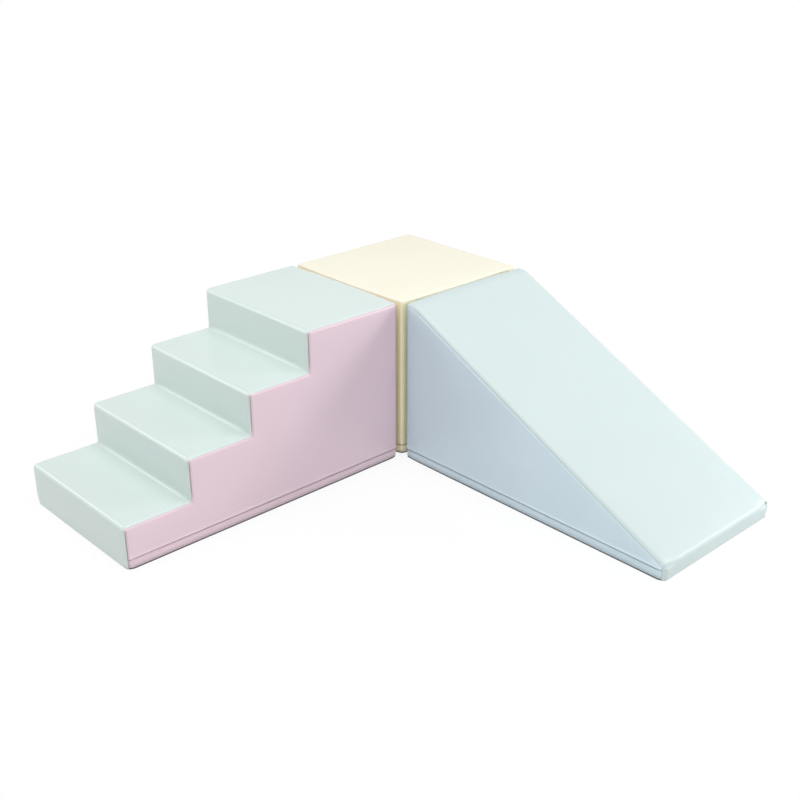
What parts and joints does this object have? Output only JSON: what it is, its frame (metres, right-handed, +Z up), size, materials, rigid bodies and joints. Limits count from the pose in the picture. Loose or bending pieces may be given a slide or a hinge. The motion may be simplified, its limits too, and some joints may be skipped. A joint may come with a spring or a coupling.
{
  "type": "toddler slide",
  "caption": "Soft-play corner set for toddlers: foam steps and a foam slide that meet at a square corner block, each in a sewn leatherette cover with a zipped skirt.",
  "frame": {"origin": "on the floor, under the middle of the whole set", "axes": "+Z up, the slide runs down along +X, the steps run down along -Y, and the inner corner of the set faces +X and -Y"},
  "size_m": [1.7644, 1.7544, 0.6],
  "materials": {
    "mint_leatherette": "matte",
    "lilac_leatherette": "matte",
    "cream_leatherette": "matte",
    "blue_leatherette": "matte",
    "non_slip_base": "matte",
    "foam": "matte",
    "zip_tape": "matte",
    "zip_coil": "satin",
    "zip_metal": "satin",
    "loop_strip": "matte",
    "hook_strip": "matte"
  },
  "bodies": {
    "corner_block": {"corner_top_panel": "cream_leatherette", "corner_side_panel_inner": "cream_leatherette", "corner_side_panel_outer": "cream_leatherette", "corner_back_panel": "cream_leatherette", "corner_skirt": "cream_leatherette", "corner_base": "non_slip_base", "corner_foam_core": "foam", "corner_zip_tapes": "zip_tape", "corner_zip_coils": "zip_coil", "corner_zip_stops": "zip_metal", "corner_loop_strips": "loop_strip"},
    "corner_slider": {"corner_zip_slider": "zip_metal"},
    "corner_pull": {"corner_zip_pull": "zip_metal"},
    "steps_block": {"steps_tread_panel": "mint_leatherette", "steps_side_panel_inner": "lilac_leatherette", "steps_side_panel_outer": "lilac_leatherette", "steps_back_panel": "lilac_leatherette", "steps_skirt": "lilac_leatherette", "steps_base": "non_slip_base", "steps_foam_core": "foam", "steps_zip_tapes": "zip_tape", "steps_zip_coils": "zip_coil", "steps_zip_stops": "zip_metal", "steps_hook_strips": "hook_strip"},
    "steps_slider": {"steps_zip_slider": "zip_metal"},
    "steps_pull": {"steps_zip_pull": "zip_metal"},
    "slide_block": {"slide_bed_panel": "mint_leatherette", "slide_side_panel_inner": "blue_leatherette", "slide_side_panel_outer": "blue_leatherette", "slide_back_panel": "blue_leatherette", "slide_skirt": "blue_leatherette", "slide_base": "non_slip_base", "slide_foam_core": "foam", "slide_zip_tapes": "zip_tape", "slide_zip_coils": "zip_coil", "slide_zip_stops": "zip_metal", "slide_hook_strips": "hook_strip"},
    "slide_slider": {"slide_zip_slider": "zip_metal"},
    "slide_pull": {"slide_zip_pull": "zip_metal"}
  },
  "joints": [
    {"name": "steps_pull_away", "type": "slide", "parent": "corner_block", "child": "steps_block", "axis": [0, -1, 0], "range_m": [0, 0.4]},
    {"name": "slide_pull_away", "type": "slide", "parent": "corner_block", "child": "slide_block", "axis": [1, 0, 0], "range_m": [0, 0.4]},
    {"name": "corner_zip_run", "type": "slide", "parent": "corner_block", "child": "corner_slider", "axis": [1, 0, 0], "range_m": [0, 0.5]},
    {"name": "corner_zip_pull_flip", "type": "hinge", "parent": "corner_slider", "child": "corner_pull", "pos_m": [-0.8241, 0.8749, 0.034], "axis": [0, 0, 1], "range_deg": [0, 180]},
    {"name": "steps_zip_run", "type": "slide", "parent": "steps_block", "child": "steps_slider", "axis": [0, 1, 0], "range_m": [0, 1.05]},
    {"name": "steps_zip_pull_flip", "type": "hinge", "parent": "steps_slider", "child": "steps_pull", "pos_m": [-0.8799, -0.8232, 0.034], "axis": [0, 0, 1], "range_deg": [0, 180]},
    {"name": "slide_zip_run", "type": "slide", "parent": "slide_block", "child": "slide_slider", "axis": [-1, 0, 0], "range_m": [0, 1.06]},
    {"name": "slide_zip_pull_flip", "type": "hinge", "parent": "slide_slider", "child": "slide_pull", "pos_m": [0.8282, 0.8749, 0.034], "axis": [0, 0, -1], "range_deg": [0, 180]}
  ]
}
